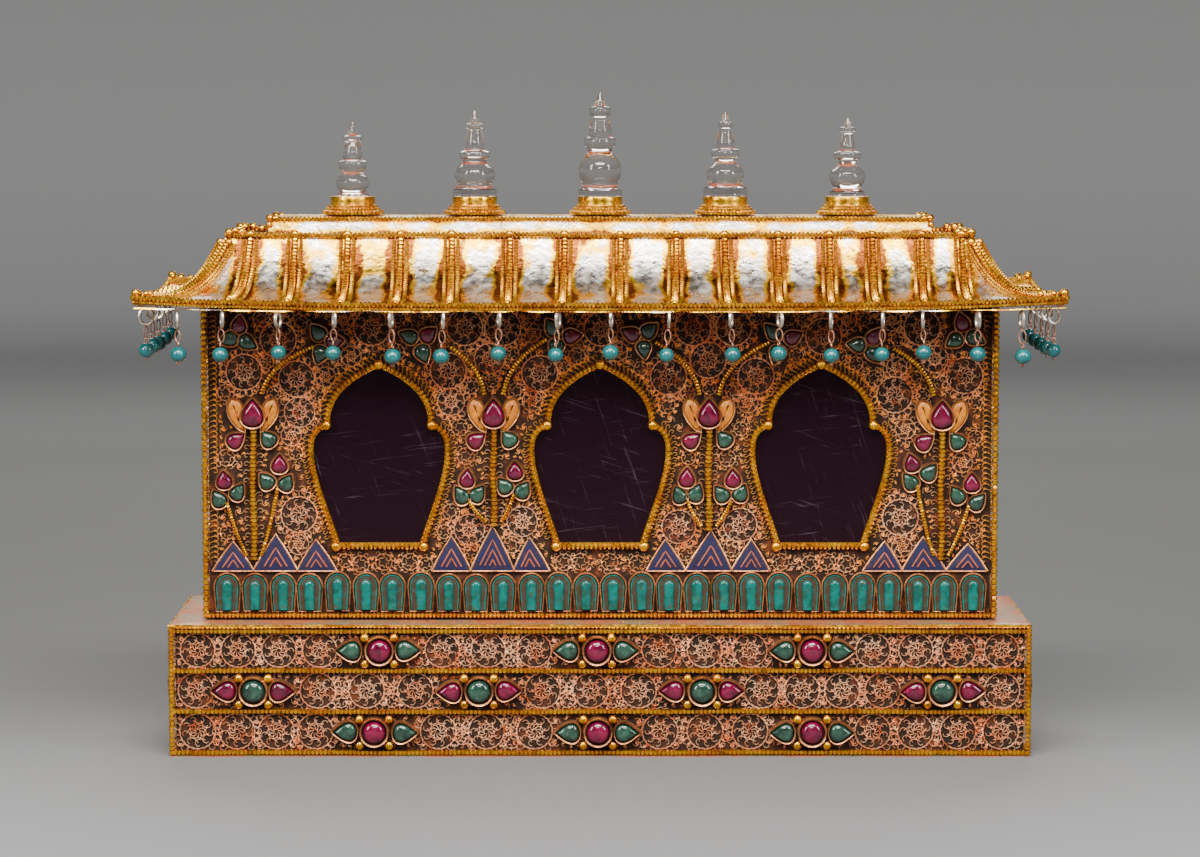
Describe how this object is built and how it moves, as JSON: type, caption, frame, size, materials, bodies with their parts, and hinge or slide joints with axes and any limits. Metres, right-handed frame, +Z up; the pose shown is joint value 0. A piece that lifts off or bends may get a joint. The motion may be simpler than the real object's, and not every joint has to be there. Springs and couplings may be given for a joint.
{
  "type": "buddhist altar box",
  "caption": "Rectangular gilt shrine box with arched windows, stone-set walls, a stepped plinth, a hipped silver roof with bead pendants and a row of crystal finials.",
  "frame": {"origin": "centre of the plinth's underside, on the surface that it stands on", "axes": "+X to the right along the front, +Y to the back, +Z up; the windows face -Y"},
  "size_m": [0.3292, 0.1186, 0.238],
  "materials": {
    "gilt": "worn gilding on beaded wire, reddish-brown in the grooves",
    "copper": "reddish sheet copper with red pigment and dull patches",
    "filigree": "copper-coloured filigree wire over a dark ground",
    "silver": "hammered silver sheet, gilded at its edges, with reddish patina",
    "tinted_pane": "near-black purple-brown glossy sheet with fine scratches",
    "green_stone": "polished turquoise-green stone with brown matrix",
    "lapis": "dull lapis with orange-brown inlaid lines",
    "ruby": "polished crimson cabochons",
    "jade": "polished grey-green cabochons",
    "yellow_stone": "glossy yellow with reddish streaks",
    "turquoise": "polished turquoise beads with brown veins",
    "rock_crystal": "clear polished rock crystal with reddish pigment in its grooves"
  },
  "bodies": {
    "root": {"plinth": "copper", "plinth_edging": "gilt", "plinth_gems_bottom_1": "ruby", "plinth_gems_bottom_2": "ruby", "plinth_gems_bottom_3": "ruby", "plinth_gems_middle_1": "ruby", "plinth_gems_middle_2": "ruby", "plinth_gems_middle_3": "ruby", "plinth_gems_middle_4": "ruby", "plinth_gems_top_1": "ruby", "plinth_gems_top_2": "ruby", "plinth_gems_top_3": "ruby", "plinth_gems_left_1": "ruby", "plinth_gems_left_2": "ruby", "plinth_gems_left_3": "ruby", "plinth_gems_left_4": "ruby", "plinth_gems_right_1": "ruby", "plinth_gems_right_2": "ruby", "plinth_gems_right_3": "ruby", "plinth_gems_right_4": "ruby", "cabinet": "filigree", "cabinet_edging": "gilt", "window_pane_left": "tinted_pane", "window_pane_centre": "tinted_pane", "window_pane_right": "tinted_pane", "window_frame_left": "gilt", "window_frame_centre": "gilt", "window_frame_right": "gilt", "petal_row_front": "green_stone", "petal_row_back": "green_stone", "petal_row_left": "green_stone", "petal_row_right": "green_stone", "mountains_front_1": "lapis", "mountains_front_2": "lapis", "mountains_front_3": "lapis", "mountains_front_4": "lapis", "mountains_left": "lapis", "mountains_right": "lapis", "lotus_tree_front_1": "ruby", "lotus_tree_front_2": "ruby", "lotus_tree_front_3": "ruby", "lotus_tree_front_4": "ruby", "lotus_tree_left": "ruby", "lotus_tree_right": "ruby", "roof": "silver", "roof_wirework": "gilt", "eave_pendants": "turquoise", "ridge": "silver", "ridge_edging": "gilt", "finial_base_1": "gilt", "finial_base_2": "gilt", "finial_base_3": "gilt", "finial_base_4": "gilt", "finial_base_5": "gilt", "crystal_1": "rock_crystal", "crystal_2": "rock_crystal", "crystal_3": "rock_crystal", "crystal_4": "rock_crystal", "crystal_5": "rock_crystal"}
  },
  "joints": []
}
